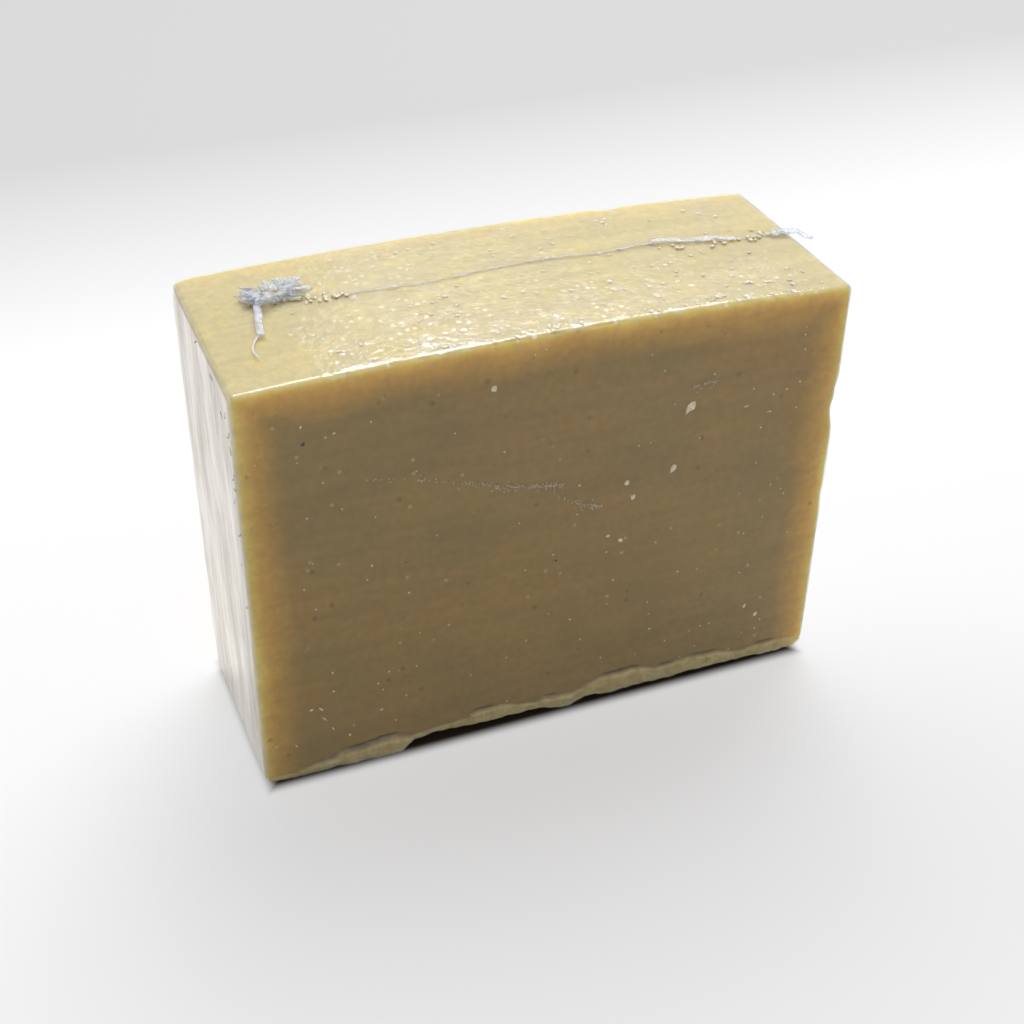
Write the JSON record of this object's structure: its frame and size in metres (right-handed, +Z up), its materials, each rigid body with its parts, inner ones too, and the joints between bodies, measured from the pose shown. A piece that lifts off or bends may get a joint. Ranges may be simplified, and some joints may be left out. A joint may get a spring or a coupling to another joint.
{
  "type": "film-wrapped bar of soap",
  "caption": "Hand-cut oblong bar of olive soap with a rough base, shrunk tight into one clear film that is sealed along its top.",
  "frame": {"origin": "middle of the flat base, on the surface that the bar stands on", "axes": "+X along the bar, towards the end where the film's stub stands out; +Z up, out of the sealed top; -Y is the front face"},
  "size_m": [0.0869, 0.0304, 0.0654],
  "materials": {
    "soap": "waxy, slightly translucent, olive brown with a yellower rim",
    "clear_film": "clear, glossy shrink film with fine wrinkles"
  },
  "bodies": {
    "root": {"soap_bar": "soap", "film_wrap": "clear_film"}
  },
  "joints": []
}
